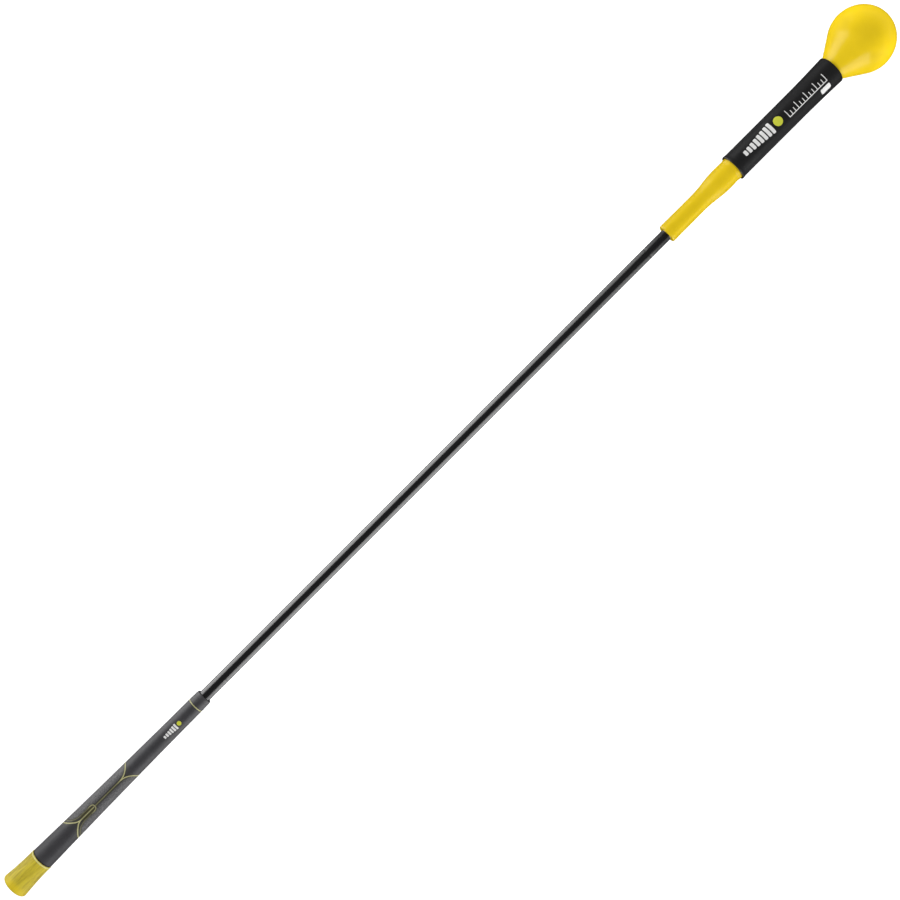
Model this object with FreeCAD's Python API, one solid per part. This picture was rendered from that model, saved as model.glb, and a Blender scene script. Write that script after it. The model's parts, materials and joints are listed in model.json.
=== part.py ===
import FreeCAD, Part
import math
import os

from FreeCAD import Vector

# Swing trainer stick: a long flexible fibreglass rod with a golf grip at one end and a weighted
# ball head at the other. Millimetres. The stick lies along +X from the butt of the grip, which is
# at the origin, to the tip of the ball. +Z is the printed side.

# Stations along the stick
overall_length = 1219.2
cap_length = 39.4
grip_mouth_x = 266.7
boot_start_x = 912.5
flex_count = 12
flex_pitch = (boot_start_x - grip_mouth_x) / flex_count
sleeve_start_x = 1005.1
sleeve_end_x = 1143.3

# Radii
rod_r = 6.0
cap_butt_r = 13.9
cap_waist_r = 12.25
cap_front_r = 12.0
grip_butt_r = 11.8
grip_middle_r = 8.97
grip_front_r = 8.5
grip_mouth_r = 8.1
boot_r = 9.9
boot_waist_r = 9.8
boot_shoulder_r = 12.3
boot_rim_r = 12.0
sleeve_lip_r = 14.5
sleeve_r = 14.1
sleeve_flare_r = 15.2
core_skin_r = 12.4
ball_r = 33.7
neck_r = 13.0

# Rod joints: each section ends in a round face about the joint's axis, which the next one cups.
# The axes take turns, upright and crosswise, so that the rod can bend in every direction.
joint_face_r = 8.0
joint_gap = 0.3
joint_overlap = 1.0

# Grip
butt_wall = 4.5
mouth_run = 10.0
vent_r = 1.5
line_width = 1.0
outer_line_width = 0.6
line_depth = 0.4
ring_line_x = 254.2
tape_thickness = 0.3
build_up_steps = ((8.0, 7.4), (110.0, 6.9), (190.0, 6.5))
build_up_end_x = 250.0
tape_end_x = 262.0

# Head
boot_waist_x = 955.0
boot_shoulder_x = 991.5
boot_rim_x = 1001.0
sleeve_lip_run = 4.4
sleeve_flare_x = 1090.0
sleeve_flare_knee_x = 1113.0
tube_r = 11.0
tube_start_x = 1008.0
core_r = 23.0
bond_gap = 0.05
pin_r = 1.5
pin_end_gap = 0.2
tube_pin_x = 1030.0
core_pin_x = 1172.0
core_pin_reach = 14.0

ball_x = overall_length - ball_r
rod_end_x = ball_x + rod_r
rod_start_x = butt_wall + 1.0
tube_end_x = ball_x - core_r - 1.0

# A length that passes right through the whole stick
through = 2 * overall_length


def revolve(edges):
    """A solid of revolution about X from edges that run, above the axis, from one end to the other."""
    start = edges[0].firstVertex(True).Point
    end = edges[-1].lastVertex(True).Point
    closing = []
    if end.y > 1e-6:
        closing.append(Part.makeLine(end, Vector(end.x, 0, 0)))
    closing.append(Part.makeLine(Vector(end.x, 0, 0), Vector(start.x, 0, 0)))
    if start.y > 1e-6:
        closing.append(Part.makeLine(Vector(start.x, 0, 0), start))
    face = Part.Face(Part.Wire(edges + closing))
    solid = face.revolve(Vector(0, 0, 0), Vector(1, 0, 0), 360)
    return solid if solid.Volume > 0 else solid.reversed()


def line(x0, r0, x1, r1):
    return Part.makeLine(Vector(x0, r0, 0), Vector(x1, r1, 0))


def polyline(points):
    return [line(*a, *b) for a, b in zip(points, points[1:])]


def bezier(*points):
    curve = Part.BezierCurve()
    curve.setPoles([Vector(x, r, 0) for x, r in points])
    return curve.toShape()


def ease(x0, r0, x1, r1):
    """A soft step from one radius to another, level at both ends."""
    lean = 0.45 * (x1 - x0)
    return bezier((x0, r0), (x0 + lean, r0), (x1 - lean, r1), (x1, r1))


def corner(x, r, size, quarter):
    """A quarter-round edge that leaves (x, r + size) or (x, r - size) for a tangent neighbour."""
    first, middle, last = quarter
    centre = Vector(x, r, 0)
    points = [centre + Vector(math.cos(a) * size, math.sin(a) * size, 0) for a in (first, middle, last)]
    return Part.Arc(*points).toShape()


def rising(x, r, size):
    """The rounded corner from a face at x - size up to the outline above it."""
    return corner(x, r, size, (math.pi, 0.75 * math.pi, 0.5 * math.pi))


def falling(x, r, size):
    """The rounded corner from an outline down to a face at x + size."""
    return corner(x, r, size, (0.5 * math.pi, 0.25 * math.pi, 0))


def rod(x0, x1, r=rod_r):
    return Part.makeCylinder(r, x1 - x0, Vector(x0, 0, 0), Vector(1, 0, 0))


def across(index, r):
    """A cylinder about a rod joint's axis, long enough to cut right through the rod."""
    axis = Vector(0, 1, 0) if index % 2 else Vector(0, 0, 1)
    return Part.makeCylinder(r, through, Vector(flex_x(index), 0, 0) - axis * through / 2, axis)


# Rod


def flex_x(index):
    return grip_mouth_x + flex_pitch * (index + 0.5)


def rod_section(index):
    """One length of the rod. Section 0 starts in the grip, and the last one ends in the ball's core."""
    starts_in_grip = index == 0
    ends_in_head = index == flex_count
    x0 = rod_start_x if starts_in_grip else flex_x(index - 1)
    x1 = rod_end_x if ends_in_head else flex_x(index)
    solid = rod(x0, x1)
    if not ends_in_head:
        round_end = rod(x1 - joint_overlap, x1 + joint_face_r).common(across(index, joint_face_r))
        solid = solid.fuse(round_end)
    if not starts_in_grip:
        solid = solid.cut(across(index - 1, joint_face_r + joint_gap))
    return solid.removeSplitter()


# Grip


def grip_outline(inset=0.0):
    """The grip's taper, from its cap to the rounded mouth, moved in by inset."""
    edge = 1.0
    taper_end_x = grip_mouth_x - mouth_run
    taper = bezier(
        (cap_length, grip_butt_r - inset),
        ((cap_length + taper_end_x) / 2, grip_middle_r - inset),
        (taper_end_x, grip_front_r - inset),
    )
    run = line(taper_end_x, grip_front_r - inset, grip_mouth_x - edge, grip_mouth_r - inset)
    nose = falling(grip_mouth_x - edge, grip_mouth_r - edge - inset, edge)
    return [taper, run, nose]


def stepped(extra, overlap):
    """The outline of the built-up rod in the grip, raised by extra, each step running on by overlap."""
    starts = [x for x, _ in build_up_steps]
    ends = starts[1:] + [build_up_end_x]
    points = []
    start = starts[0]
    for (_, r), end in zip(build_up_steps, ends):
        points += [(start, r + extra), (end + overlap, r + extra)]
        start = end + overlap
    return points


def build_up_tape():
    return revolve(polyline(stepped(0, 0))).cut(rod(0, through))


def tape_core():
    """Everything inside the grip's bore: the rod with its layers of tape."""
    points = stepped(tape_thickness, tape_thickness)
    low_r = rod_r + tape_thickness
    points += [(points[-1][0], low_r), (tape_end_x, low_r)]
    return revolve(polyline(points))


def grip_tape():
    return tape_core().cut(build_up_tape()).cut(rod(0, through))


def stripe(points, width=line_width):
    """A line of the grip's pattern seen from above, as a thin upright wall through the whole grip."""
    spine = Part.BSplineCurve()
    spine.interpolate([Vector(x, y, 0) for x, y in points])
    sides = []
    steps = 4 * len(points)
    for side in (-1, 1):
        offset = []
        for step in range(steps + 1):
            place = spine.FirstParameter + (spine.LastParameter - spine.FirstParameter) * step / steps
            along = spine.tangent(place)[0]
            sideways = Vector(-along.y, along.x, 0)
            offset.append(spine.value(place) + sideways * side * width / 2)
        curve = Part.BSplineCurve()
        curve.interpolate(offset)
        sides.append(curve.toShape())
    low, high = sides
    caps = [
        Part.makeLine(low.firstVertex().Point, high.firstVertex().Point),
        Part.makeLine(low.lastVertex().Point, high.lastVertex().Point),
    ]
    face = Part.Face(Part.Wire(Part.__sortEdges__([low, caps[1], high, caps[0]])))
    face.translate(Vector(0, 0, -through / 2))
    return face.extrude(Vector(0, 0, through))


def line_pattern():
    """Double sweeps from both flanks. The inner pair meets in a centre line that forks back out at its
    far end, and the outer pair runs beside that line and closes round it in a half circle."""
    meet_x = 97.1
    loop_x = 113.4
    loop_r = 3.1
    fork_x = 151.4
    overlap = 0.5
    inner_sweep = [(78.0, 12.5), (81.9, 9.6), (85.9, 6.2), (88.8, 3.9), (91.4, 2.0), (94.2, 0.6), (meet_x, 0)]
    outer_sweep = [(82.0, 12.0), (86.0, 9.0), (90.0, 6.0), (93.9, 4.2), (97.9, 3.3), (103.3, loop_r)]
    outer_sweep.append((loop_x, loop_r))
    fork = [(fork_x, 0), (155.4, 0.7), (159.8, 2.7), (163.0, 5.4), (165.0, 8.4), (167.0, 12.0)]
    walls = []
    for side in (-1, 1):
        for points in (inner_sweep, fork):
            walls.append(stripe([(x, y * side) for x, y in points]))
        walls.append(stripe([(x, y * side) for x, y in outer_sweep], outer_line_width))
    turn = [math.radians(degrees) for degrees in range(-90, 91, 30)]
    half_circle = [(loop_x + loop_r * math.cos(a), loop_r * math.sin(a)) for a in turn]
    walls.append(stripe(half_circle, outer_line_width))
    walls.append(stripe([(meet_x - overlap, 0), (fork_x + overlap, 0)]))
    pattern = walls[0]
    for wall in walls[1:]:
        pattern = pattern.fuse(wall)
    return pattern


def grip_skin():
    """The outer layer of the grip, as deep as its lines."""
    return revolve(grip_outline()).cut(revolve(grip_outline(line_depth)))


def grip_lines():
    return line_pattern().common(grip_skin())


def grip_ring():
    ring = rod(ring_line_x - line_width / 2, ring_line_x + line_width / 2, grip_butt_r)
    return ring.common(grip_skin())


def grip_body():
    solid = revolve(grip_outline()).cut(tape_core()).cut(rod(0, through))
    return solid.cut(grip_lines()).cut(grip_ring())


def grip_cap():
    edge = 2.5
    outline = [
        line(0, vent_r, 0, cap_butt_r - edge),
        rising(edge, cap_butt_r - edge, edge),
        bezier((edge, cap_butt_r), (cap_length / 2, cap_waist_r), (cap_length, cap_front_r)),
    ]
    solid = revolve(outline).cut(tape_core()).cut(rod(rod_start_x, through))
    return solid.cut(rod(-edge, through, vent_r))


# Head


def head_bore():
    """The hole that the rod's tip is bonded into."""
    return rod(boot_start_x - 1, rod_end_x + bond_gap, rod_r + bond_gap)


def cross_pin(x, r):
    return Part.makeCylinder(pin_r, 2 * r, Vector(x, 0, -r), Vector(0, 0, 1))


def weight_tube():
    chamfer = 1.0
    points = [(tube_start_x, tube_r - chamfer), (tube_start_x + chamfer, tube_r), (tube_end_x, tube_r)]
    solid = revolve(polyline(points))
    return solid.cut(head_bore()).cut(cross_pin(tube_pin_x, tube_r))


def tube_pin():
    return cross_pin(tube_pin_x, tube_r - pin_end_gap)


def core_pin():
    return cross_pin(core_pin_x, core_pin_reach)


def ball_core():
    solid = Part.makeSphere(core_r, Vector(ball_x, 0, 0))
    return solid.cut(head_bore()).cut(cross_pin(core_pin_x, core_pin_reach))


def tip_section():
    solid = rod_section(flex_count)
    return solid.cut(cross_pin(tube_pin_x, tube_r)).cut(cross_pin(core_pin_x, core_pin_reach))


def boot():
    """The yellow taper that grips the rod and runs on, under the cover, as the weight's skin."""
    edge = 1.2
    under_cover_x = boot_rim_x + 1.0
    outline = [
        line(boot_start_x, rod_r, boot_start_x, boot_r - edge),
        rising(boot_start_x + edge, boot_r - edge, edge),
        ease(boot_start_x + edge, boot_r, boot_waist_x, boot_waist_r),
        ease(boot_waist_x, boot_waist_r, boot_shoulder_x, boot_shoulder_r),
        ease(boot_shoulder_x, boot_shoulder_r, boot_rim_x, boot_rim_r),
        line(boot_rim_x, boot_rim_r, under_cover_x, core_skin_r),
        line(under_cover_x, core_skin_r, sleeve_end_x, core_skin_r),
    ]
    solid = revolve(outline).cut(head_bore())
    return solid.cut(rod(tube_start_x, through, tube_r))


def sleeve():
    """The black cover over the weight, with a small lip at its low end and a flare at the ball."""
    edge = 0.5
    end_edge = 1.0
    lip_x = sleeve_start_x + edge
    flare_end_x = sleeve_end_x - end_edge
    outline = [
        rising(lip_x, sleeve_lip_r - edge, edge),
        ease(lip_x, sleeve_lip_r, lip_x + sleeve_lip_run, sleeve_r),
        line(lip_x + sleeve_lip_run, sleeve_r, sleeve_flare_x, sleeve_r),
        bezier((sleeve_flare_x, sleeve_r), (sleeve_flare_knee_x, sleeve_r), (flare_end_x, sleeve_flare_r)),
        falling(flare_end_x, sleeve_flare_r - end_edge, end_edge),
        line(sleeve_end_x, sleeve_flare_r - end_edge, sleeve_end_x, neck_r),
    ]
    return revolve(outline).cut(rod(boot_start_x, through, core_skin_r))


def ball_shell():
    """A sphere with a straight flank that runs down, tangent to it, to the end of the cover."""
    reach = ball_x - sleeve_end_x
    seen = math.hypot(reach, neck_r)
    turn = math.atan2(neck_r, -reach) - math.acos(ball_r / seen)
    tangent = Vector(ball_x + ball_r * math.cos(turn), ball_r * math.sin(turn), 0)
    half = turn / 2
    middle = Vector(ball_x + ball_r * math.cos(half), ball_r * math.sin(half), 0)
    outline = [
        Part.makeLine(Vector(sleeve_end_x, neck_r, 0), tangent),
        Part.Arc(tangent, middle, Vector(overall_length, 0, 0)).toShape(),
    ]
    solid = revolve(outline).cut(Part.makeSphere(core_r, Vector(ball_x, 0, 0)))
    return solid.cut(rod(boot_start_x, tube_end_x, tube_r)).cut(head_bore())


nodes = {
    "grip_body": grip_body(),
    "grip_cap": grip_cap(),
    "grip_line_inlay": grip_lines(),
    "grip_ring_inlay": grip_ring(),
    "build_up_tape": build_up_tape(),
    "grip_tape": grip_tape(),
    "taper_boot": boot(),
    "weight_tube": weight_tube(),
    "weight_cover": sleeve(),
    "weight_tube_pin": tube_pin(),
    "ball_core": ball_core(),
    "ball_core_pin": core_pin(),
    "ball_shell": ball_shell(),
    "shaft_tip_section": tip_section(),
}
for section in range(flex_count):
    nodes["shaft_butt_section" if section == 0 else "shaft_section_%d" % section] = rod_section(section)

os.makedirs("parts", exist_ok=True)
for name, shape in nodes.items():
    shape.exportStep("parts/%s.step" % name)
    print(name, len(shape.Solids), shape.isValid(), round(shape.Volume))
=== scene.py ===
import json
import math

import bmesh
import bpy
import numpy as np
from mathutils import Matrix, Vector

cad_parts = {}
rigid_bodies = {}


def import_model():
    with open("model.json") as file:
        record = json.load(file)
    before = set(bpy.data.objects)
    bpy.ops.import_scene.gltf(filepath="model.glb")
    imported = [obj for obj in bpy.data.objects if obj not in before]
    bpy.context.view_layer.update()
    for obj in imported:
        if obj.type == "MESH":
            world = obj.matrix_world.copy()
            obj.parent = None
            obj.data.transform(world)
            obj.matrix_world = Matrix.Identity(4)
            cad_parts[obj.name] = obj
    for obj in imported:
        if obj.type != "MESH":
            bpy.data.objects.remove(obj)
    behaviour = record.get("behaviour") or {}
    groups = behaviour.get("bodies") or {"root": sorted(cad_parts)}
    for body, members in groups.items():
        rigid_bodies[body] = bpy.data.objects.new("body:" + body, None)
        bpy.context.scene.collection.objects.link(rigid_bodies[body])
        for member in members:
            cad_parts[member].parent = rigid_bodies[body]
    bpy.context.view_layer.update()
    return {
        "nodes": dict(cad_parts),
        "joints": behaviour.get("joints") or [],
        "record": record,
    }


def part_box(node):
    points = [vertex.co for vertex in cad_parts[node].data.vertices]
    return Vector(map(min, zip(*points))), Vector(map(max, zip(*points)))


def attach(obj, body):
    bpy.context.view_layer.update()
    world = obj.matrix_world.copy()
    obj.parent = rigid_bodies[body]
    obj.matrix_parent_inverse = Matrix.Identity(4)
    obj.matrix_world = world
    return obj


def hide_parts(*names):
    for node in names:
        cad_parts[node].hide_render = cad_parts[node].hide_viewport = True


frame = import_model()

# The looks of a swing trainer stick: rubber grip, lacquered rod and weighted ball head. Metres.
# The stick lies along +X from the butt of the grip to the tip of the ball, and +Z is its printed side.

MM = 0.001

# Places and sizes that the CAD frame gives
cap_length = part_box("grip_cap")[1].x
cap_butt_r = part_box("grip_cap")[1].z
grip_mouth_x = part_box("grip_body")[1].x
grip_butt_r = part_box("grip_body")[1].z
boot_start_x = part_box("taper_boot")[0].x
sleeve_start_x, sleeve_end_x = (corner.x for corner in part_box("weight_cover"))
ball_tip_x, _, ball_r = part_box("ball_shell")[1]
rod_end_x, _, rod_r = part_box("shaft_tip_section")[1]
tube_start_x, tube_end_x = (corner.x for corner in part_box("weight_tube"))
tube_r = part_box("weight_tube")[1].z
core_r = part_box("ball_core")[1].z
ring_line_x = sum(corner.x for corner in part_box("grip_ring_inlay")) / 2
ball_x = ball_tip_x - ball_r
rod_start_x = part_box("shaft_butt_section")[0].x

# Radii of the outlines between those places
cap_waist_r = 12.25 * MM
cap_front_r = 12.0 * MM
grip_middle_r = 8.97 * MM
grip_front_r = 8.5 * MM
grip_mouth_r = 8.1 * MM
boot_r = 9.9 * MM
boot_waist_r = 9.8 * MM
boot_shoulder_r = 12.3 * MM
boot_rim_r = 12.0 * MM
core_skin_r = 12.4 * MM
sleeve_lip_r = 14.5 * MM
sleeve_r = 14.1 * MM
sleeve_flare_r = 15.2 * MM
neck_r = 13.0 * MM
nose_r = rod_r - 0.03 * MM  # the round ends of the rod's lengths, just under their skin

# How far each skin wavers
rubber_waver = 0.04 * MM
cover_waver = 0.03 * MM
head_waver = 0.05 * MM
rod_waver = 0.012 * MM

# Places of their features along the stick
mouth_run = 10.0 * MM
boot_waist_x = 955.0 * MM
boot_shoulder_x = 991.5 * MM
boot_rim_x = 1001.0 * MM
sleeve_lip_run = 4.4 * MM
sleeve_flare_x = 1090.0 * MM
sleeve_flare_knee_x = 1113.0 * MM

# Grip lines
line_width = 1.0 * MM
outer_line_width = 0.6 * MM
line_depth = 0.4 * MM
paint_recess = 0.06 * MM
meet_x, loop_x, fork_x = 97.1, 113.4, 151.4  # in mm, as the plans of the lines are
loop_r = 3.1

AROUND = 160  # points round a turned piece


# Outlines: arrays of (x, r)


def line(x0, r0, x1, r1, step=2.0 * MM):
    count = max(2, int(math.hypot(x1 - x0, r1 - r0) / step) + 1)
    return np.stack([np.linspace(x0, x1, count), np.linspace(r0, r1, count)], 1)


def bezier(*points, count=24):
    points = [np.array(p) for p in points]
    t = np.linspace(0, 1, count)[:, None]
    degree = len(points) - 1
    return sum(math.comb(degree, k) * t**k * (1 - t) ** (degree - k) * p for k, p in enumerate(points))


def ease(x0, r0, x1, r1, count=24):
    """A soft step from one radius to another, level at both ends."""
    lean = 0.45 * (x1 - x0)
    return bezier((x0, r0), (x0 + lean, r0), (x1 - lean, r1), (x1, r1), count=count)


def arc(x, r, size, start, end, count=10):
    """A round from one angle to another, in degrees, about (x, r)."""
    turn = np.radians(np.linspace(start, end, count))
    return np.stack([x + size * np.cos(turn), r + size * np.sin(turn)], 1)


def join(*runs):
    """One outline from several runs, without doubled points."""
    points = np.concatenate(runs)
    keep = np.ones(len(points), bool)
    keep[1:] = np.linalg.norm(np.diff(points, axis=0), axis=1) > 1e-7
    return points[keep]


# Meshes


def quads(rows, columns):
    """Faces of a grid of rows of points, each row a closed ring."""
    row, column = np.meshgrid(np.arange(rows - 1), np.arange(columns), indexing="ij")
    first = row * columns + column
    beside = row * columns + (column + 1) % columns
    return np.stack([first, first + columns, beside + columns, beside], 2).reshape(-1, 4).tolist()


def new_piece(name, vertices, faces, sharp=35):
    """A mesh object with outward faces and smooth shading, sharp where faces meet at over sharp degrees."""
    mesh = bpy.data.meshes.new(name)
    mesh.from_pydata([tuple(v) for v in vertices], [], faces)
    tidy = bmesh.new()
    tidy.from_mesh(mesh)
    bmesh.ops.recalc_face_normals(tidy, faces=tidy.faces)
    tidy.to_mesh(mesh)
    tidy.free()
    mesh.shade_smooth()
    mesh.set_sharp_from_angle(angle=math.radians(sharp))
    piece = bpy.data.objects.new(name, mesh)
    bpy.context.scene.collection.objects.link(piece)
    return piece


def lathe(name, outline, around=AROUND, relief=None, closed=False, sharp=35):
    """A turned piece. An outline that ends on the axis ends there in a point; a closed one joins up into a
    tube. relief(x, angle, row) gives how far each point stands out from its outline."""
    start_point = not closed and outline[0, 1] < 1e-7
    end_point = not closed and outline[-1, 1] < 1e-7
    rings = outline[int(start_point) : len(outline) - int(end_point)]
    angle = np.arange(around) * 2 * math.pi / around
    x, turn = np.meshgrid(rings[:, 0], angle, indexing="ij")
    r = np.repeat(rings[:, 1:2], around, 1)
    if relief is not None:
        row = np.repeat(np.arange(len(rings))[:, None], around, 1)
        r = r + relief(x, turn, row)
    vertices = np.stack([x, r * np.sin(turn), r * np.cos(turn)], 2).reshape(-1, 3).tolist()
    faces = quads(len(rings), around)
    last = (len(rings) - 1) * around
    if closed:
        faces += [[last + k, k, (k + 1) % around, last + (k + 1) % around] for k in range(around)]
    if start_point:
        vertices.append([outline[0, 0], 0, 0])
        faces += [[len(vertices) - 1, k, (k + 1) % around] for k in range(around)]
    elif not closed:
        faces.append(list(range(around)))
    if end_point:
        vertices.append([outline[-1, 0], 0, 0])
        faces += [[len(vertices) - 1, last + (k + 1) % around, last + k] for k in range(around)]
    elif not closed:
        faces.append([last + k for k in range(around)])
    return new_piece(name, vertices, faces, sharp)


def mark_points(piece, **values):
    """Gives each point of a piece's mesh a value under each of these names."""
    for name, value in values.items():
        made = piece.data.attributes.new(name, "FLOAT", "POINT")
        made.data.foreach_set("value", np.ascontiguousarray(value, np.float32).ravel())


def smoothstep(low, high, value):
    t = np.clip((value - low) / (high - low), 0, 1)
    return t * t * (3 - 2 * t)


def waver(x, angle, size):
    """The slow unevenness of a dipped or moulded skin."""
    return size * (
        0.5 * np.sin(61 * x + 2 * angle + 0.7)
        + 0.3 * np.sin(148 * x - 3 * angle + 2.1)
        + 0.2 * np.sin(233 * x + 5 * angle + 4.4)
    )


def seam(angle, r, height, width):
    """A mould's parting line, a low ridge along both flanks."""
    return height * np.exp(-((np.cos(angle) * r / width) ** 2))


# Materials


def shader(name, **values):
    """A material with these values on its surface shader's own sockets."""
    material = bpy.data.materials.new(name)
    material.use_nodes = True
    surface = material.node_tree.nodes["Principled BSDF"]
    for socket, value in values.items():
        surface.inputs[socket.replace("_", " ")].default_value = value
    return material, surface


def node(material, kind, inputs=None, **properties):
    made = material.node_tree.nodes.new("ShaderNode" + kind)
    for key, value in properties.items():
        setattr(made, key, value)
    for key, value in (inputs or {}).items():
        if isinstance(value, bpy.types.NodeSocket):
            material.node_tree.links.new(value, made.inputs[key])
        else:
            made.inputs[key].default_value = value
    return made


def place(material, stretch=(1, 1, 1)):
    """Object coordinates, stretched."""
    where = node(material, "TexCoord").outputs["Object"]
    return node(material, "Mapping", {"Vector": where, "Scale": stretch}).outputs[0]


def grain(material, scale, detail=3.0, rough=0.5, stretch=(1, 1, 1)):
    """Noise with about scale bumps a metre."""
    inputs = {"Vector": place(material, stretch), "Scale": scale, "Detail": detail, "Roughness": rough}
    return node(material, "TexNoise", inputs).outputs["Fac"]


def ramp(material, fac, *stops):
    """A colour ramp from (position, colour) pairs."""
    made = node(material, "ValToRGB", {"Fac": fac})
    band = made.color_ramp.elements
    while len(band) < len(stops):
        band.new(0.5)
    for element, (position, colour) in zip(band, stops):
        element.position = position
        element.color = (*colour, 1) if len(colour) == 3 else colour
    return made.outputs["Color"]


def span(material, fac, low, high, start=0.3, end=0.7):
    """fac from start to end, as a value from low to high."""
    inputs = {"Value": fac, "From Min": start, "From Max": end, "To Min": low, "To Max": high}
    return node(material, "MapRange", inputs).outputs["Result"]


def mix(material, fac, first, second, blend="MIX"):
    made = node(material, "Mix", data_type="RGBA", blend_type=blend)
    for socket, value in ((0, fac), (6, first), (7, second)):
        if isinstance(value, bpy.types.NodeSocket):
            material.node_tree.links.new(value, made.inputs[socket])
        else:
            made.inputs[socket].default_value = value if socket == 0 else (*value, 1)
    return made.outputs[2]


def bump(material, height, strength, distance, under=None):
    inputs = {"Height": height, "Strength": strength, "Distance": distance}
    if under is not None:
        inputs["Normal"] = under
    return node(material, "Bump", inputs).outputs["Normal"]


def dress(material, surface, colour=None, roughness=None, normal=None):
    for socket, source in (("Base Color", colour), ("Roughness", roughness), ("Normal", normal)):
        if source is not None:
            material.node_tree.links.new(source, surface.inputs[socket])
    return material


def attribute(material, name):
    """A value that the mesh holds for each of its points."""
    return node(material, "Attribute", attribute_name=name).outputs["Fac"]


def scaled(colour, factor):
    return tuple(c * factor for c in colour)


def vinyl(name, colour, gloss, peel):
    """Dipped vinyl: a soft skin with a faint orange peel and a little mottling."""
    material, surface = shader(name, IOR=1.5, Specular_IOR_Level=0.17)
    mottle = grain(material, 55, 3)
    fine = grain(material, 900, 4, 0.6)
    body = ramp(material, mottle, (0.3, scaled(colour, 0.96)), (0.7, scaled(colour, 1.03)))
    body = mix(material, span(material, fine, 0, 0.05), body, scaled(colour, 0.8))
    skin = bump(material, fine, peel, 0.04 * MM)
    skin = bump(material, grain(material, 130, 2), peel, 0.15 * MM, skin)
    return dress(material, surface, body, span(material, mottle, gloss - 0.03, gloss + 0.03), skin)


def lacquer():
    """Black lacquer over a fibreglass rod, whose lengthwise fibres show faintly."""
    material, surface = shader("rod_lacquer", IOR=1.5, Coat_Weight=0.1, Coat_Roughness=0.08)
    fibre = grain(material, 1400, 4, 0.6, (0.012, 1, 1))
    dust = grain(material, 420, 5, 0.7)
    body = ramp(material, fibre, (0.3, (0.011, 0.011, 0.0115)), (0.75, (0.02, 0.02, 0.021)))
    body = mix(material, span(material, dust, 0, 0.25, 0.62, 0.8), body, (0.03, 0.03, 0.031))
    skin = bump(material, fibre, 0.25, 0.02 * MM)
    return dress(material, surface, body, span(material, dust, 0.14, 0.24), skin)


def cover_skin():
    """Satin black shrink cover, with fine grain and lengthwise scuffs."""
    material, surface = shader("cover_vinyl", IOR=1.5, Specular_IOR_Level=0.4)
    fine = grain(material, 1600, 4, 0.65)
    scuff = grain(material, 240, 5, 0.7, (0.08, 1, 1))
    body = ramp(material, fine, (0.3, (0.013, 0.013, 0.0135)), (0.8, (0.023, 0.023, 0.024)))
    body = mix(material, span(material, scuff, 0, 0.2, 0.6, 0.78), body, (0.03, 0.03, 0.032))
    skin = bump(material, fine, 0.35, 0.03 * MM)
    skin = bump(material, scuff, 0.2, 0.05 * MM, skin)
    return dress(material, surface, body, span(material, scuff, 0.28, 0.4), skin)


def grip_skin():
    """Charcoal rubber with a fine grain: dusty where it is knurled, olive in and beside the painted lines,
    and darkened with painted shade in the joint at its cap."""
    material, surface = shader("grip_rubber", IOR=1.5, Specular_IOR_Level=0.36)
    fine = grain(material, 1500, 5, 0.7)
    coarse = grain(material, 900, 3, 0.75)
    dust = grain(material, 70, 4, 0.6)
    body = ramp(material, fine, (0.3, (0.03, 0.03, 0.034)), (0.72, (0.062, 0.061, 0.067)))
    body = mix(material, span(material, dust, 0, 0.35), body, (0.078, 0.076, 0.082))
    worn = ramp(material, coarse, (0.38, (0.055, 0.055, 0.057)), (0.6, (0.145, 0.142, 0.148)))
    body = mix(material, attribute(material, "worn"), body, worn)
    body = mix(material, attribute(material, "line_stain"), body, (0.07, 0.063, 0.018))
    # Painted shade: the grip is painted near-black in the joint at its cap.
    body = mix(material, attribute(material, "joint_painted_shade"), body, (0.014, 0.012, 0.006))
    pebble = node(material, "TexVoronoi", {"Vector": place(material), "Scale": 1100.0}).outputs["Distance"]
    skin = bump(material, pebble, 0.35, 0.05 * MM)
    skin = bump(material, fine, 0.4, 0.06 * MM, skin)
    return dress(material, surface, body, span(material, fine, 0.45, 0.6), skin)


def cap_skin():
    """Mustard rubber, fine-grained, with lengthwise streaks of handling, a painted highlight of brighter
    yellow round the butt, and a paler painted highlight on the lip at its front.
    """
    material, surface = shader("cap_rubber", IOR=1.5, Specular_IOR_Level=0.25)
    fine = grain(material, 1100, 5, 0.7)
    streak = grain(material, 520, 4, 0.6, (0.09, 1, 1))
    body = ramp(material, streak, (0.34, (0.5, 0.38, 0.02)), (0.62, (0.8, 0.66, 0.04)))
    body = mix(material, span(material, fine, 0, 0.3), body, (0.64, 0.5, 0.03))
    # Painted highlight: the butt end is painted a brighter, more saturated yellow.
    body = mix(material, attribute(material, "butt_painted_highlight"), body, (0.88, 0.66, 0.01))
    # Painted highlight: the mark named worn paints the lip at the cap's front a paler yellow.
    body = mix(material, attribute(material, "worn"), body, (0.84, 0.8, 0.3))
    skin = bump(material, fine, 0.4, 0.07 * MM)
    skin = bump(material, streak, 0.3, 0.1 * MM, skin)
    return dress(material, surface, body, span(material, fine, 0.42, 0.55), skin)


def line_paint():
    """Pale olive rubber paint in the grip's lines, thin in places and worn off where "worn" says."""
    material, surface = shader("line_rubber", IOR=1.5)
    fine = grain(material, 1300, 4, 0.65)
    thin = grain(material, 75, 3, 0.6)
    body = ramp(material, fine, (0.3, (0.5, 0.48, 0.19)), (0.7, (0.72, 0.7, 0.36)))
    body = mix(material, span(material, thin, 0, 0.3, 0.45, 0.75), body, (0.3, 0.28, 0.1))
    body = mix(material, attribute(material, "worn"), body, (0.075, 0.07, 0.03))
    skin = bump(material, fine, 0.4, 0.04 * MM)
    return dress(material, surface, body, span(material, fine, 0.5, 0.65), skin)


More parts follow.
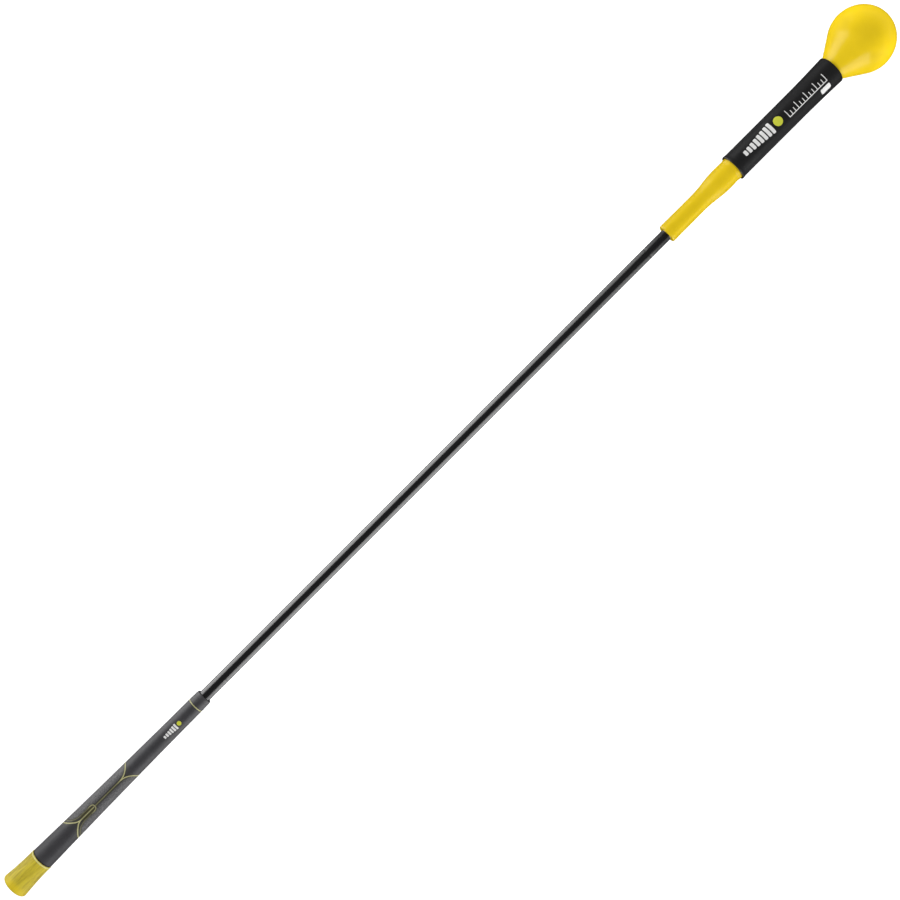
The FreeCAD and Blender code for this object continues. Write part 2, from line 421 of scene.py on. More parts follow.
def ink(name, colour):
    """Screen-printed ink: slightly grainy, and thin enough for the skin under it to show."""
    material, surface = shader(name, IOR=1.48)
    fine = grain(material, 1900, 4, 0.7)
    worn = grain(material, 260, 5, 0.7)
    body = ramp(material, fine, (0.3, scaled(colour, 0.9)), (0.7, colour))
    body = mix(material, span(material, worn, 0, 0.3, 0.62, 0.84), body, scaled(colour, 0.5))
    skin = bump(material, fine, 0.3, 0.02 * MM)
    return dress(material, surface, body, span(material, worn, 0.38, 0.52), skin)


def steel(name, colour, rough, stretch):
    """Turned steel: fine tool marks that run round the piece, with light scratches."""
    material, surface = shader(name, Metallic=1.0)
    tool = grain(material, 1700, 4, 0.6, stretch)
    stain = grain(material, 60, 5, 0.65)
    body = ramp(material, tool, (0.3, scaled(colour, 0.8)), (0.7, scaled(colour, 1.05)))
    body = mix(material, span(material, stain, 0, 0.4), body, scaled(colour, 0.6))
    skin = bump(material, tool, 0.4, 0.03 * MM)
    return dress(material, surface, body, span(material, stain, rough, rough + 0.15), skin)


def tape_paper():
    """Crepe paper tape: cross ridges, and the edges of its turns."""
    material, surface = shader("tape_paper", IOR=1.45)
    crepe = grain(material, 900, 4, 0.6, (2.2, 0.4, 0.4))
    inputs = {"Vector": place(material), "Scale": 8.0, "Distortion": 0.4, "Detail": 1.0}
    turns = node(material, "TexWave", inputs, bands_direction="X").outputs["Fac"]
    body = ramp(material, crepe, (0.3, (0.5, 0.4, 0.24)), (0.7, (0.66, 0.56, 0.37)))
    body = mix(material, span(material, turns, 0, 0.5, 0.88, 0.97), body, (0.36, 0.28, 0.16))
    skin = bump(material, turns, 0.3, 0.1 * MM, bump(material, crepe, 0.6, 0.08 * MM))
    return dress(material, surface, body, span(material, crepe, 0.7, 0.9), skin)


yellow = (0.95, 0.67, 0.012)
materials = {
    "grip_rubber": grip_skin(),
    "cap_rubber": cap_skin(),
    "line_rubber": line_paint(),
    "tape_paper": tape_paper(),
    "rod_lacquer": lacquer(),
    "head_vinyl": vinyl("head_vinyl", yellow, 0.21, 0.1),
    "cover_vinyl": cover_skin(),
    "weight_steel": steel("weight_steel", (0.55, 0.55, 0.56), 0.28, (3, 0.2, 0.2)),
    "pin_steel": steel("pin_steel", (0.42, 0.42, 0.44), 0.2, (0.6, 0.6, 3)),
}
white_ink = ink("white_ink", (0.98, 0.98, 0.97))
lime_ink = ink("lime_ink", (0.76, 0.8, 0.05))


def finish_piece(piece, body, slot, *nodes):
    """Gives a piece its material slot and has it ride on its body in place of these CAD nodes."""
    piece.data.materials.append(materials[slot])
    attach(piece, body)
    if nodes:
        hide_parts(*nodes)
    return piece


# Grip


def grip_radius(x):
    """The grip's outer radius between its cap and the round at its mouth."""
    taper_end_x = grip_mouth_x - mouth_run
    t = np.clip((x - cap_length) / (taper_end_x - cap_length), 0, 1)
    taper = (1 - t) ** 2 * grip_butt_r + 2 * t * (1 - t) * grip_middle_r + t**2 * grip_front_r
    run = np.clip((x - taper_end_x) / (mouth_run - 1.0 * MM), 0, 1)
    return taper + run * (grip_mouth_r - grip_front_r)


def on_grip(x, turn, lift=0.0):
    """Points on the grip at these angles from the printed side, raised by lift."""
    r = grip_radius(x) + lift
    return np.stack([x, r * np.sin(turn), r * np.cos(turn)], -1)


def spline(points, step=0.5 * MM):
    """A natural cubic through points (x, angle), sampled every step or so along the grip's skin."""
    points = np.array(points, float)
    flat = np.stack([points[:, 0], points[:, 1] * grip_radius(points[:, 0])], 1)
    knot = np.concatenate([[0], np.cumsum(np.linalg.norm(np.diff(flat, axis=0), axis=1))])
    gap = np.diff(knot)
    count = len(knot)
    system, right = np.eye(count), np.zeros((count, 2))
    for k in range(1, count - 1):
        system[k, k - 1 : k + 2] = gap[k - 1], 2 * (gap[k - 1] + gap[k]), gap[k]
        slopes = np.diff(points[k - 1 : k + 2], axis=0) / gap[k - 1 : k + 1, None]
        right[k] = 6 * (slopes[1] - slopes[0])
    bend = np.linalg.solve(system, right)
    at = np.linspace(0, knot[-1], max(8, int(knot[-1] / step)))
    k = np.clip(np.searchsorted(knot, at, side="right") - 1, 0, count - 2)
    h, a, b = gap[k, None], (knot[k + 1] - at)[:, None], (at - knot[k])[:, None]
    return (
        bend[k] * a**3 / (6 * h)
        + bend[k + 1] * b**3 / (6 * h)
        + (points[k] / h - bend[k] * h / 6) * a
        + (points[k + 1] / h - bend[k + 1] * h / 6) * b
    )


def over_flank(plan, side):
    """A line given as (x, y) in mm on the printed side, from the middle out, as (x, angle) points that run
    over one flank and back the same way underneath."""
    x, y = np.array(plan).T * MM
    r = grip_radius(x)
    inside = y < 0.96 * r
    crossing = np.interp(0, (y - r), x) if y[-1] > y[0] else x[-1]
    up = [(a, math.asin(b / c)) for a, b, c in zip(x[inside], y[inside], r[inside])]
    down = [(a, math.pi - b) for a, b in reversed(up)]
    return [(a, side * b) for a, b in up + [(crossing, math.pi / 2)] + down]


def grip_paths():
    """The centre of each line of the grip's pattern, and its width. Double sweeps come from both flanks. The
    inner pair meets in a centre line that forks back out, and the outer pair closes round it in an arc."""
    inner = [(meet_x, 0), (94.2, 0.6), (91.4, 2.0), (88.8, 3.9), (85.9, 6.2), (81.9, 9.6), (78.0, 12.5)]
    turn = [math.radians(degrees) for degrees in (0, 30, 60)]
    outer = [(loop_x + loop_r * math.cos(a), loop_r * math.sin(a)) for a in turn]
    outer += [(loop_x, loop_r), (108.0, loop_r), (103.3, loop_r), (97.9, 3.3), (93.9, 4.2), (90.0, 6.0)]
    outer += [(86.0, 9.0), (82.0, 12.0)]
    fork = [(fork_x, 0), (155.4, 0.7), (159.8, 2.7), (163.0, 5.4), (165.0, 8.4), (167.0, 12.0)]
    paths = []
    for side in (-1, 1):
        for plan, width in ((inner, line_width), (outer, outer_line_width), (fork, line_width)):
            paths.append((spline(over_flank(plan, side)), width))
    for turn in (0, math.pi):
        x = np.arange(meet_x, fork_x + 0.5, 0.5) * MM
        paths.append((np.stack([x, np.full(len(x), turn)], 1), line_width))
    return paths


def ribbon(path, width, recess, depth, closed=False):
    """A painted line: a low crowned strip that follows the grip's skin, from depth up to recess under it."""
    half = width / 2
    shoulder, crown = 0.6 * half, 0.05 * MM
    section = [(-half, -depth), (-half, -recess - crown), (-shoulder, -recess), (shoulder, -recess)]
    section += [(half, -recess - crown), (half, -depth)]
    x, turn = path.T
    centre = on_grip(x, turn)
    along = np.roll(centre, -1, 0) - np.roll(centre, 1, 0) if closed else np.gradient(centre, axis=0)
    along /= np.linalg.norm(along, axis=1)[:, None]
    out = np.stack([np.zeros(len(x)), np.sin(turn), np.cos(turn)], 1)
    sideways = np.cross(out, along)
    sideways /= np.linalg.norm(sideways, axis=1)[:, None]
    rows = [centre + sideways * a + out * b for a, b in section]
    vertices = np.stack(rows, 1).reshape(-1, 3).tolist()
    faces = quads(len(x), len(section))
    last = (len(x) - 1) * len(section)
    if closed:
        count = len(section)
        faces += [[last + k, k, (k + 1) % count, last + (k + 1) % count] for k in range(count)]
    else:
        faces += [list(range(len(section))), [last + k for k in range(len(section))]]
    return vertices, faces


def nearest(points, paths):
    """How far each point is from the edge of the nearest line, below zero inside it. A point out of reach of
    every line gets a value far beyond it."""
    reach, far = 4 * MM, 1.0
    best = np.full(len(points), far)
    for path, width in paths:
        centre = on_grip(*path.T)
        low, high = centre.min(0) - reach, centre.max(0) + reach
        near = np.flatnonzero(((points > low) & (points < high)).all(1))
        for part in np.array_split(near, max(1, len(near) // 4000)):
            if len(part):
                start, step = centre[:-1], np.diff(centre, axis=0)
                gap = points[part][:, None] - start
                t = np.clip((gap * step).sum(2) / (step * step).sum(1), 0, 1)
                away = np.linalg.norm(gap - t[:, :, None] * step, axis=2).min(1) - width / 2
                best[part] = np.minimum(best[part], away)
    return best


def knurl(x, turn, paths):
    """Fine diamond texture on both flanks, between the outer sweeps and the fork: where it lies, and how far
    it stands out."""
    folded = np.abs(np.sin(turn))
    y = folded * grip_radius(x)
    outer, fork = (np.concatenate([paths[k][0], paths[k + 3][0]]) for k in (1, 2))
    spans = []
    for path in (outer, fork):
        path_y = np.abs(np.sin(path[:, 1])) * grip_radius(path[:, 0])
        order = np.argsort(path_y)
        spans.append(np.interp(y, path_y[order], path[order, 0]))
    margin = np.minimum(x - spans[0], spans[1] - x)
    past_loop = x - (loop_x + loop_r) * MM
    margin = np.where(y < loop_r * MM, np.minimum(spans[1] - x, past_loop), margin)
    inside = smoothstep(0.6 * MM, 2.0 * MM, margin) * smoothstep(1.2 * MM, 2.4 * MM, y)
    pitch, depth = 2.2 * MM, 0.16 * MM
    usual_r = 9.4 * MM
    round_it = np.round(2 * math.pi * usual_r / pitch)
    across = turn * round_it / 2
    along = x * math.pi / pitch
    diamonds = np.abs(np.sin(along + across) * np.sin(along - across)) - 0.4
    return inside, depth * inside * diamonds


def build_grip():
    paths = grip_paths()
    outer_paths, centre_paths = (1, 4), (6, 7)
    fine, coarse = 0.32 * MM, 0.9 * MM
    pattern_start, pattern_end = 76 * MM, 169 * MM
    ring_half = line_width / 2
    stations = np.concatenate([
        np.arange(cap_length, pattern_start, coarse),
        np.arange(pattern_start, pattern_end, fine),
        np.arange(pattern_end, ring_line_x - 2 * MM, coarse),
        np.arange(ring_line_x - 2 * MM, ring_line_x + 2 * MM, ring_half / 2),
        np.arange(ring_line_x + 2 * MM, grip_mouth_x - 1.0 * MM, coarse),
    ])
    outer = np.stack([stations, grip_radius(stations)], 1)
    nose = arc(grip_mouth_x - 1.0 * MM, grip_mouth_r - 1.0 * MM, 1.0 * MM, 90, 0)
    # The bore is wider over each layer of tape: start, end and radius, in mm
    bores = ((250, 262, 6.3), (190, 250, 6.8), (110, 190, 7.2), (cap_length / MM, 110, 7.7))
    inner = [(grip_mouth_x, rod_r)]
    inner.append((bores[0][1] * MM, rod_r))
    for start, end, r in bores:
        inner += [(end * MM, r * MM), (start * MM, r * MM)]
    outline = join(outer, nose, np.array(inner))
    skin_rows = len(outer)
    bead_x = grip_mouth_x - 3.2 * MM
    tones = {}

    def relief(x, turn, row):
        skin = row < skin_rows
        points = on_grip(x, turn).reshape(-1, 3)
        edge = nearest(points, paths).reshape(x.shape)
        ring = np.abs(x - ring_line_x) - ring_half
        groove = np.minimum(edge, ring)
        sunk = line_depth * 1.1 * (1 - smoothstep(-0.2 * MM, 0.16 * MM, groove))
        inside, texture = knurl(x, turn, paths)
        clear = smoothstep(0.1 * MM, 0.6 * MM, groove)
        fade = smoothstep(cap_length, cap_length + 2 * MM, x)
        bead = 0.12 * MM * np.exp(-(((x - bead_x) / (0.7 * MM)) ** 2))
        joint = np.exp(-(((x - cap_length) / (0.9 * MM)) ** 2))
        offset = texture * clear - sunk + waver(x, turn, rubber_waver) * fade + bead - 0.45 * MM * joint
        y = np.abs(np.sin(turn)) * grip_radius(x)
        in_loop = smoothstep(meet_x * MM, (meet_x + 2) * MM, x)
        in_loop = in_loop * (1 - smoothstep(loop_x * MM, (loop_x + 3) * MM, x))
        in_loop = in_loop * (1 - smoothstep((loop_r - 0.6) * MM, loop_r * MM, y))
        beside = 0.6 * np.exp(-np.clip(edge, 0, 1) / (0.9 * MM))
        tones["line_stain"] = np.maximum(beside, 0.85 * in_loop) * skin
        tones["worn"] = inside * skin
        # Painted shade, strongest in the joint at the cap and fading within a few mm of it.
        tones["joint_painted_shade"] = np.exp(-(((x - cap_length) / (1.3 * MM)) ** 2)) * skin
        return np.where(skin, offset, 0)

    grip = lathe("grip_sleeve", outline, 176, relief, closed=True)
    mark_points(grip, **tones)
    finish_piece(grip, "handle", "grip_rubber", "grip_body")

    vertices, faces, worn = [], [], []
    for index, (path, width) in enumerate(paths):
        more, walls = ribbon(path, width, paint_recess, line_depth)
        faces += [[k + len(vertices) for k in face] for face in walls]
        vertices += more
        x = np.array(more)[:, 0] / MM
        if index in outer_paths:
            worn.append(0.8 * (1 - smoothstep(loop_x - 6, loop_x + 1, x)))
        elif index in centre_paths:
            between = smoothstep(loop_x, loop_x + 4, x) * (1 - smoothstep(fork_x - 6, fork_x, x))
            worn.append(0.3 + 0.4 * between)
        else:
            worn.append(np.zeros(len(x)))
    lines = new_piece("grip_line_paint", vertices, faces, 50)
    mark_points(lines, worn=np.concatenate(worn))
    finish_piece(lines, "handle", "line_rubber", "grip_line_inlay")

    count = 200
    turn = np.arange(count) * 2 * math.pi / count
    ring_path = np.stack([np.full(count, ring_line_x), turn], 1)
    ring_mesh = ribbon(ring_path, line_width, paint_recess, line_depth, closed=True)
    ring = new_piece("grip_ring_paint", *ring_mesh, 50)
    mark_points(ring, worn=np.full(len(ring.data.vertices), 0.1))
    finish_piece(ring, "handle", "line_rubber", "grip_ring_inlay")


def build_cap():
    edge = 2.5 * MM
    vent_r = 1.5 * MM
    vent_edge = 0.3 * MM
    build_up_start_x = 8 * MM
    tape_r = 7.7 * MM
    face = join(
        arc(vent_edge, vent_r + vent_edge, vent_edge, 270, 180, 5),
        line(0, vent_r + vent_edge, 0, cap_butt_r - edge, 0.8 * MM),
        arc(edge, cap_butt_r - edge, edge, 180, 90, 16),
    )
    body = bezier((edge, cap_butt_r), (cap_length / 2, cap_waist_r), (cap_length, cap_front_r), count=120)
    outside = join(face, body)
    outline = join(
        outside,
        line(cap_length, cap_front_r, cap_length, tape_r),
        line(cap_length, tape_r, build_up_start_x, tape_r),
        line(build_up_start_x, tape_r, build_up_start_x, rod_r),
        line(build_up_start_x, rod_r, rod_start_x, rod_r),
        line(rod_start_x, rod_r, rod_start_x, vent_r),
    )
    flutes = 44
    tones = {}

    def relief(x, turn, row):
        skin = (row >= len(face)) & (row < len(outside))
        middle = smoothstep(6 * MM, 12 * MM, x)
        middle = middle * (1 - smoothstep(cap_length - 5 * MM, cap_length - 3 * MM, x))
        flute = -0.14 * MM * middle * (0.5 + 0.5 * np.cos(turn * flutes)) ** 2
        lip = np.exp(-(((x - cap_length + 0.9 * MM) / (0.7 * MM)) ** 2))
        parting = seam(turn, cap_front_r, 0.06 * MM, 0.5 * MM)
        fade = smoothstep(edge, 3 * edge, x)
        # Painted highlight over the butt end, fading out between 5 and 11 mm from it.
        tones["butt_painted_highlight"] = (1 - smoothstep(5 * MM, 11 * MM, x)) * 0.7 * (row < len(outside))
        # Painted highlight: the lip at the front is painted paler, under the name worn.
        tones["worn"] = lip * skin
        uneven = (parting + waver(x, turn, rubber_waver)) * fade
        return np.where(skin, flute + 0.22 * MM * lip + uneven, 0)

    cap = lathe("butt_cap", outline, 264, relief, closed=True)
    mark_points(cap, **tones)
    finish_piece(cap, "handle", "cap_rubber", "grip_cap")


# Rod


def rod_tip(x, outward, nose):
    """The outline of one end of a length, from the axis out: a round nose about a hinge, or a flat face."""
    if nose:
        turn = np.radians(np.linspace(0, 90, 12))
        return np.stack([x + outward * nose_r * np.cos(turn), nose_r * np.sin(turn)], 1)
    return join(np.array([(x, 0.0)]), line(x, rod_r * 0.5, x, rod_r, 2 * MM))


def rod_length(name, start, end, rows, start_nose=True, end_nose=True):
    """One length of the rod, with a slight unevenness of its lacquer. The noses of two lengths that meet at a
    hinge lie inside each other, so the rod stays whole at any bend."""
    skin = np.stack([np.linspace(start, end, rows), np.full(rows, rod_r)], 1)
    if start_nose:
        skin[0, 1] = nose_r
    if end_nose:
        skin[-1, 1] = nose_r
    outline = join(rod_tip(start, -1, start_nose), skin, rod_tip(end, 1, end_nose)[::-1])

    def relief(x, turn, row):
        inside = (x > start + 0.5 * MM) & (x < end - 0.5 * MM)
        return np.where(inside, waver(x, turn, rod_waver) - rod_waver / 3, 0)

    return lathe(name, outline, 72, relief)


def build_rod():
    """The rod in lengths from hinge to hinge, each of which rides on one body."""
    bends = frame["joints"]
    pitch = (boot_start_x - grip_mouth_x) / len(bends)
    hinges = [grip_mouth_x + pitch * (index + 0.5) for index in range(len(bends))]
    in_grip = rod_length("rod_in_grip", rod_start_x, hinges[0], 90, start_nose=False)
    finish_piece(in_grip, "handle", "rod_lacquer", "shaft_butt_section")
    for index in range(1, len(bends)):
        piece = rod_length("rod_span_%d" % index, hinges[index - 1], hinges[index], 56)
        finish_piece(piece, bends[index]["parent"], "rod_lacquer", "shaft_section_%d" % index)
    in_head = rod_length("rod_in_head", hinges[-1], rod_end_x, 90, end_nose=False)
    finish_piece(in_head, "head", "rod_lacquer", "shaft_tip_section")


# Head


def build_boot():
    edge = 1.2 * MM
    gap = 0.05 * MM
    under_cover_x = boot_rim_x + 1.0 * MM
    collar_x = boot_start_x + 3.4 * MM
    mouth = join(
        line(boot_start_x, rod_r + gap, boot_start_x, boot_r - edge, 0.8 * MM),
        arc(boot_start_x + edge, boot_r - edge, edge, 180, 90),
    )
    outside = join(
        mouth,
        ease(boot_start_x + edge, boot_r, boot_waist_x, boot_waist_r, 50),
        ease(boot_waist_x, boot_waist_r, boot_shoulder_x, boot_shoulder_r, 46),
        ease(boot_shoulder_x, boot_shoulder_r, boot_rim_x, boot_rim_r, 16),
    )
    outline = join(
        outside,
        line(boot_rim_x, boot_rim_r, under_cover_x, core_skin_r),
        line(under_cover_x, core_skin_r, sleeve_end_x, core_skin_r, 6 * MM),
        line(sleeve_end_x, core_skin_r, sleeve_end_x, tube_r),
        line(sleeve_end_x, tube_r, tube_start_x, tube_r, 6 * MM),
        line(tube_start_x, tube_r, tube_start_x, rod_r + gap),
        line(tube_start_x, rod_r + gap, boot_start_x, rod_r + gap, 6 * MM),
    )

    def relief(x, turn, row):
        skin = (row >= len(mouth)) & (row < len(outside))
        fade = smoothstep(boot_start_x + edge, boot_start_x + 3 * edge, x)
        collar = 0.1 * MM * np.exp(-(((x - collar_x) / (1.2 * MM)) ** 2))
        parting = seam(turn, boot_r, 0.05 * MM, 0.5 * MM)
        return np.where(skin, (waver(x, turn, head_waver) + collar + parting) * fade, 0)

    boot = lathe("boot_skin", outline, AROUND, relief, closed=True)
    finish_piece(boot, "head", "head_vinyl", "taper_boot")


def sleeve_outline():
    """The cover's outer outline, from its low end to the ball."""
    edge = 0.5 * MM
    end_edge = 1.0 * MM
    lip_x = sleeve_start_x + edge
    flare_end_x = sleeve_end_x - end_edge
    knee = (sleeve_flare_knee_x, sleeve_r)
    return join(
        arc(lip_x, sleeve_lip_r - edge, edge, 180, 90, 6),
        ease(lip_x, sleeve_lip_r, lip_x + sleeve_lip_run, sleeve_r, 14),
        line(lip_x + sleeve_lip_run, sleeve_r, sleeve_flare_x, sleeve_r),
        bezier((sleeve_flare_x, sleeve_r), knee, (flare_end_x, sleeve_flare_r), count=36),
        arc(flare_end_x, sleeve_flare_r - end_edge, end_edge, 90, 0, 8),
    )


def build_sleeve():
    outer = sleeve_outline()
    outline = join(
        outer,
        line(sleeve_end_x, sleeve_flare_r - 1.0 * MM, sleeve_end_x, core_skin_r, 0.8 * MM),
        line(sleeve_end_x, core_skin_r, sleeve_start_x, core_skin_r, 6 * MM),
    )

    def relief(x, turn, row):
        fade = smoothstep(sleeve_start_x, sleeve_start_x + 3 * MM, x)
        fade = fade * (1 - smoothstep(sleeve_end_x - 3 * MM, sleeve_end_x, x))
        return np.where(row < len(outer), waver(x, turn, cover_waver) * fade, 0)

    sleeve = lathe("sleeve_skin", outline, AROUND, relief, closed=True)
    finish_piece(sleeve, "head", "cover_vinyl", "weight_cover")


def build_ball():
    gap = 0.05 * MM
    reach = ball_x - sleeve_end_x
    turn = math.degrees(math.atan2(neck_r, -reach) - math.acos(ball_r / math.hypot(reach, neck_r)))
    tangent_x = ball_x + ball_r * math.cos(math.radians(turn))
    tangent_r = ball_r * math.sin(math.radians(turn))
    cavity_start = math.degrees(math.asin((rod_r + gap) / core_r))
    outside = join(
        arc(ball_x, 0, ball_r, 0, turn, 90),
        line(tangent_x, tangent_r, sleeve_end_x, neck_r, 0.9 * MM),
    )
    outline = join(
        outside,
        line(sleeve_end_x, neck_r, sleeve_end_x, tube_r),
        line(sleeve_end_x, tube_r, tube_end_x, tube_r, 4 * MM),
        line(tube_end_x, tube_r, tube_end_x, rod_r + gap),
        arc(ball_x, 0, core_r, 180 - cavity_start, 0, 40),
    )
    outline[0, 1] = outline[-1, 1] = 0

    def relief(x, turn, row):
        skin = row < len(outside)
        end = 1 - smoothstep(ball_tip_x - 1.2 * MM, ball_tip_x, x)
        end = end * smoothstep(sleeve_end_x, sleeve_end_x + 3 * MM, x)
        r = np.sqrt(np.clip(ball_r**2 - (x - ball_x) ** 2, 1e-9, None))
        parting = seam(turn, r, 0.05 * MM, 0.5 * MM)
        return np.where(skin, (waver(x, turn, head_waver) - head_waver + parting) * end, 0)

    finish_piece(lathe("ball_skin", outline, 200, relief), "head", "head_vinyl", "ball_shell")


# Printed marks


def print_pad(x0, x1, y0, y1, corner, surface):
    """A thin rounded rectangle of ink on a round skin, given as seen from the printed side. surface(x) is the
    skin's radius."""
    thick, lift = 0.05 * MM, 0.035 * MM
    rows, columns = 20, 14
    corner = min(corner, (x1 - x0) / 2, (y1 - y0) / 2)
    eased = 0.5 - 0.5 * np.cos(np.linspace(0, math.pi, rows))
    x = x0 + (x1 - x0) * eased
    inset = np.clip(corner - np.minimum(x - x0, x1 - x), 0, corner)
    pull = corner - np.sqrt(np.clip(corner**2 - inset**2, 0, None))
    pull = np.minimum(pull, (y1 - y0) / 2 - 0.02 * MM)
    low, high = y0 + pull, y1 - pull
    y = low[:, None] + (high - low)[:, None] * np.linspace(0, 1, columns)
    r = surface(x)[:, None]
    turn = np.arcsin(y / r)
    every_x = np.repeat(x[:, None], columns, 1)
    layers = []
    for height in (lift + thick, -thick):
        out = r + height
        layers.append(np.stack([every_x, out * np.sin(turn), out * np.cos(turn)], 2))
    top, under = (layer.reshape(-1, 3).tolist() for layer in layers)
    count = rows * columns
    faces = []
    for row in range(rows - 1):
        for column in range(columns - 1):
            first = row * columns + column
            face = [first, first + 1, first + columns + 1, first + columns]
            faces += [face, [k + count for k in reversed(face)]]
    rim = list(range(columns)) + [(row + 1) * columns - 1 for row in range(1, rows)]
    rim += [count - 1 - k for k in range(1, columns)] + [row * columns for row in range(rows - 2, 0, -1)]
    faces += [[a, a + count, b + count, b] for a, b in zip(rim, rim[1:] + rim[:1])]
    return top + under, faces


def print_marks(name, pads, surface, material, body):
    """One piece of ink from several pads, given in mm, that rides on this body."""
    vertices, faces = [], []
    for pad in pads:
        more, walls = print_pad(*(value * MM for value in pad), surface)
        faces += [[k + len(vertices) for k in face] for face in walls]
        vertices += more
    piece = new_piece(name, vertices, faces, 50)
    piece.data.materials.append(material)
    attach(piece, body)


def rising_bars(start, end, middle, low, high, count, width):
    """Upright bars that grow along the stick, each centred on the line y = middle."""
    bars = []
    for k in range(count):
        x = start + (end - start - width) * k / (count - 1)
        half = (low + (high - low) * k / (count - 1)) / 2
        bars.append((x, x + width, middle - half, middle + half, width * 0.3))
    return bars


def scale_line(start, end, middle, height, count):
    """A thin rule with ticks, every third one long."""
    pads = [(start, end, middle - height / 2, middle - height / 2 + 0.8, 0.2)]
    for k in range(count):
        x = start + (end - start - 0.8) * k / (count - 1)
        top = height if k % 3 == 0 else height * 0.6
        pads.append((x, x + 0.8, middle - height / 2 + 0.7, middle - height / 2 + top, 0.2))
    return pads


def build_marks():
    """Generic marks in place of the print on the cover and the grip, in mm as seen from the printed side."""
    outer = sleeve_outline()

    def sleeve_surface(x):
        return np.interp(x, outer[:, 0], outer[:, 1]) + waver(x, 0, cover_waver)

    def grip_surface(x):
        return grip_radius(x) + waver(x, 0, rubber_waver)

    white = rising_bars(1019.3, 1057.5, 1.2, 5.5, 12.5, 8, 3.6)
    white += scale_line(1076.6, 1128.1, -0.4, 8.7, 13)
    white.append((1116.2, 1128.2, -11.4, -7.0, 1.2))
    print_marks("cover_mark_white", white, sleeve_surface, white_ink, "head")
    print_marks("cover_mark_lime", [(1060.6, 1070.4, -3.7, 6.1, 4.9)], sleeve_surface, lime_ink, "head")
    bars = rising_bars(211.5, 228.4, -1.0, 3.0, 6.4, 6, 2.1)
    print_marks("grip_mark_white", bars, grip_surface, white_ink, "handle")
    print_marks("grip_mark_lime", [(229.6, 234.2, -3.3, 1.3, 2.3)], grip_surface, lime_ink, "handle")


build_grip()
build_cap()
build_rod()
build_boot()
build_sleeve()
build_ball()
build_marks()

# CAD pieces that stay: the tape and the weights with their pins
slot_of = {part["node"]: part["material_slot"] for part in frame["record"]["subparts"]}
for name, piece in frame["nodes"].items():
    if not piece.hide_render:
        piece.data.materials.clear()
        piece.data.materials.append(materials[slot_of[name]])


# Floor, light and camera

floor_z = -0.8
away = 1.2  # from the stick's axis to the boxes
band_top_z = 0.9
band_start_x, band_end_x = -0.35, 1.13
flag_x = 0.62  # boxes from here on don't light the ball
fill_height = 1.0
side_fill, end_fill = 2.45, 1.3  # radiance


def studio_floor():
    """A pale table, well below the stick, in a dome of the same paper. They neither light the stick nor show
    in anything glossy."""
    half = 20.0
    corners = [(-half, -half, floor_z), (half, -half, floor_z), (half, half, floor_z), (-half, half, floor_z)]
    mesh = bpy.data.meshes.new("floor")
    mesh.from_pydata(corners, [], [(0, 1, 2, 3)])
    floor = bpy.data.objects.new("floor", mesh)
    bpy.context.scene.collection.objects.link(floor)
    material, surface = shader("floor", Roughness=0.9, Emission_Strength=0.45)
    surface.inputs["Emission Color"].default_value = (1, 1, 1, 1)
    body = ramp(material, grain(material, 3, 4), (0.3, (0.8, 0.8, 0.8)), (0.7, (0.83, 0.83, 0.83)))
    dress(material, surface, body)
    mesh.materials.append(material)
    floor.visible_glossy = floor.visible_diffuse = False

    dome_mesh = bpy.data.meshes.new("backdrop")
    round_mesh = bmesh.new()
    bmesh.ops.create_uvsphere(round_mesh, u_segments=64, v_segments=32, radius=0.9 * half)
    round_mesh.to_mesh(dome_mesh)
    round_mesh.free()
    dome_mesh.shade_smooth()
    dome_mesh.materials.append(material)
    dome = bpy.data.objects.new("backdrop", dome_mesh)
    bpy.context.scene.collection.objects.link(dome)
    dome.visible_diffuse = dome.visible_glossy = dome.visible_shadow = False


def studio_world():
    """Soft light all round, which doesn't show in anything glossy."""
    world = bpy.data.worlds.new("studio")
    bpy.context.scene.world = world
    world.use_nodes = True
    world.node_tree.nodes["Background"].inputs["Color"].default_value = (1, 1, 1, 1)
    world.node_tree.nodes["Background"].inputs["Strength"].default_value = 0.6
    world.cycles_visibility.glossy = False


def softbox(name, width, height, radiance):
    lamp = bpy.data.lights.new(name, "AREA")
    lamp.shape = "RECTANGLE"
    lamp.size, lamp.size_y = width, height
    lamp.energy = radiance * math.pi * width * height
    box = bpy.data.objects.new(name, lamp)
    box.visible_camera = False
    bpy.context.scene.collection.objects.link(box)
    return box


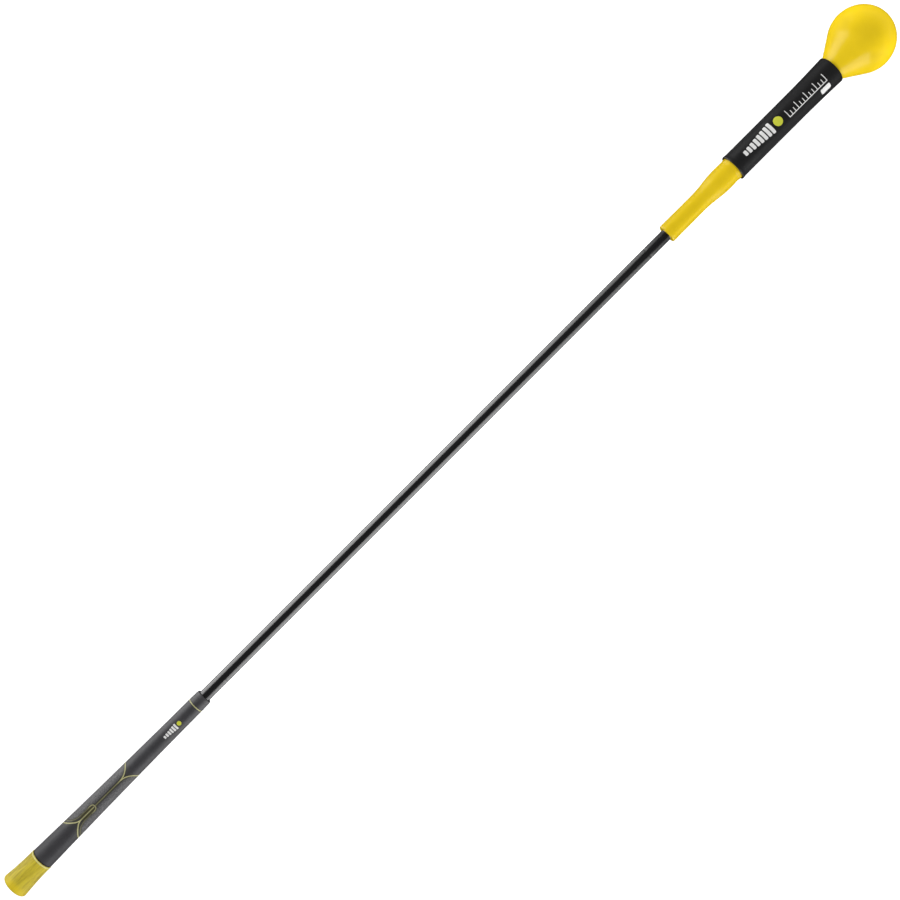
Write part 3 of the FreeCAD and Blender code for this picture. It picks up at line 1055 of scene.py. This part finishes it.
def side_lights():
    """On each side a row of boxes that shows as one bright band, dimmer towards its ends, in everything
    glossy, and a soft fill for everything else. The far boxes are flagged off the ball, so that the band ends
    with its cone. One more fill stands beyond the ball."""
    flagged = bpy.data.collections.new("flagged")
    flagged.objects.link(bpy.data.objects["ball_skin"])
    for side, radiance, foot_x, foot_share in ((-1, 5.1, -0.03, 0.1), (1, 5.6, -0.08, 0.45)):
        band = [(band_start_x, foot_x, foot_share), (foot_x, flag_x, 1.0), (flag_x, 0.76, 1.0)]
        band += [(0.76, 0.94, 0.8), (0.94, band_end_x, 0.5)]
        for start_x, end_x, share in band:
            box = softbox("band", end_x - start_x, band_top_z - floor_z, radiance * share)
            box.location = ((start_x + end_x) / 2, side * away, (band_top_z + floor_z) / 2)
            box.rotation_euler = (-side * math.pi / 2, 0, 0)
            box.visible_diffuse = False
            if start_x >= flag_x:
                box.light_linking.receiver_collection = flagged
        fill = softbox("fill", 2 * away, fill_height, side_fill)
        fill.location = (0.6, side * away, 0)
        fill.rotation_euler = (-side * math.pi / 2, 0, 0)
        fill.visible_glossy = False
    fill = softbox("fill", 2 * away, fill_height, end_fill)
    fill.location = (ball_x + away, 0, 0)
    fill.rotation_euler = (math.pi / 2, 0, math.pi / 2)
    fill.visible_glossy = False
    for member in flagged.collection_objects:
        member.light_linking.link_state = "EXCLUDE"


def add_camera():
    """Straight above the printed side, with the stick across the frame from corner to corner."""
    height = 1.5
    width_seen = 0.8901
    camera_data = bpy.data.cameras.new("camera")
    camera_data.sensor_width = 36.0
    camera_data.lens = camera_data.sensor_width * height / width_seen
    camera = bpy.data.objects.new("camera", camera_data)
    middle_x = 0.6104
    middle_y = 0.00063
    camera.location = (middle_x, middle_y, height)
    camera.rotation_euler = (0, 0, -math.pi / 4)
    bpy.context.scene.collection.objects.link(camera)
    bpy.context.scene.camera = camera


studio_floor()
studio_world()
side_lights()
add_camera()
bpy.context.scene.view_settings.view_transform = "Standard"

bpy.context.view_layer.update()
